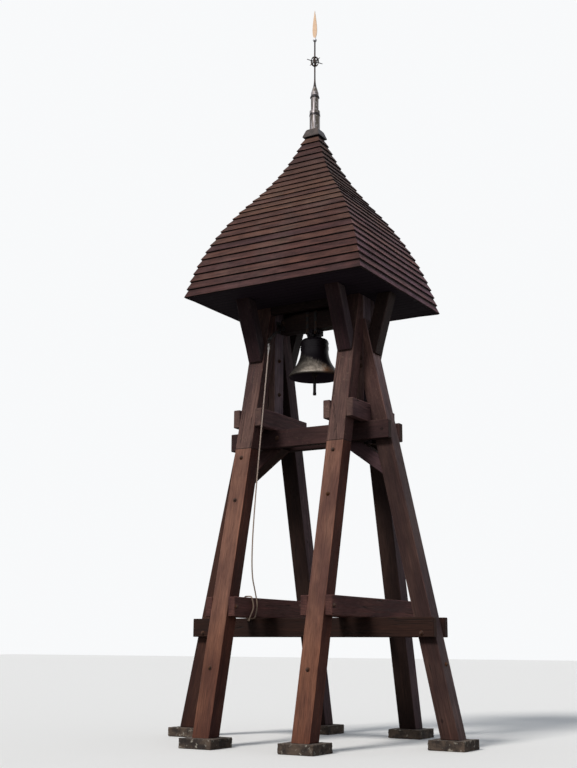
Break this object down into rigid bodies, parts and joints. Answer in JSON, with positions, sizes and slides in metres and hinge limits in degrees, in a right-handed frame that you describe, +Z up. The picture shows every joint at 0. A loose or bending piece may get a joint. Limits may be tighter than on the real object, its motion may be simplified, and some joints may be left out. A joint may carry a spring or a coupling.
{
  "type": "timber bell tower",
  "caption": "Open timber bell tower on splayed legs clamped by paired beams, with a swinging bell and rope under a curved boarded roof with a finial.",
  "frame": {"origin": "on the ground, at the middle of the six footings", "axes": "+X from the left tripod to the right one, +Z up, -Y the front, seen in the picture from the right"},
  "size_m": [5.348, 4.1712, 12.8416],
  "materials": {
    "tarred_timber": "tarred and weathered",
    "roof_boards": "tarred boards, weathered",
    "dark_stone": "rough stone",
    "zinc_sheet": "dull sheet metal",
    "black_iron": "blackened",
    "gilding": "gilded",
    "rope": "laid rope",
    "bell_bronze": "patinated bronze"
  },
  "bodies": {
    "frame": {"bearing_left": "black_iron", "bearing_right": "black_iron", "bell_rope": "rope", "finial_flame": "gilding", "finial_iron": "black_iron", "finial_stem": "zinc_sheet", "footing_back_left": "dark_stone", "footing_back_right": "dark_stone", "footing_front_left": "dark_stone", "footing_front_right": "dark_stone", "footing_outer_left": "dark_stone", "footing_outer_right": "dark_stone", "head_tie_back": "tarred_timber", "head_tie_front": "tarred_timber", "knee_brace_left": "tarred_timber", "knee_brace_right": "tarred_timber", "leg_back_left": "tarred_timber", "leg_back_right": "tarred_timber", "leg_front_left": "tarred_timber", "leg_front_right": "tarred_timber", "leg_outer_left": "tarred_timber", "leg_outer_right": "tarred_timber", "lower_clamps_left": "tarred_timber", "lower_clamps_right": "tarred_timber", "lower_girts": "tarred_timber", "post_left": "tarred_timber", "post_right": "tarred_timber", "roof_back": "roof_boards", "roof_cap": "zinc_sheet", "roof_front": "roof_boards", "roof_left": "roof_boards", "roof_right": "roof_boards", "rope_end_knot": "rope", "soffit": "roof_boards", "strut_back_left": "tarred_timber", "strut_back_right": "tarred_timber", "strut_front_left": "tarred_timber", "strut_front_right": "tarred_timber", "strut_outer_left": "tarred_timber", "strut_outer_right": "tarred_timber", "upper_clamps_left": "tarred_timber", "upper_clamps_right": "tarred_timber", "upper_girts": "tarred_timber"},
    "bell_and_headstock": {"headstock": "tarred_timber", "gudgeons": "black_iron", "bell_straps": "black_iron", "bell": "bell_bronze", "clapper_staple": "black_iron", "rope_lever": "black_iron", "lever_shackle": "black_iron", "rope_knot": "rope"},
    "clapper": {"clapper": "black_iron"}
  },
  "joints": [
    {"name": "bell_swing", "type": "hinge", "parent": "frame", "child": "bell_and_headstock", "pos_m": [0, 0, 6.9], "axis": [1, 0, 0], "range_deg": [-45, 45], "deforming": ["bell_rope"]},
    {"name": "clapper_swing", "type": "hinge", "parent": "bell_and_headstock", "child": "clapper", "pos_m": [0, 0, 6.531], "axis": [1, 0, 0], "range_deg": [-24, 24]}
  ]
}
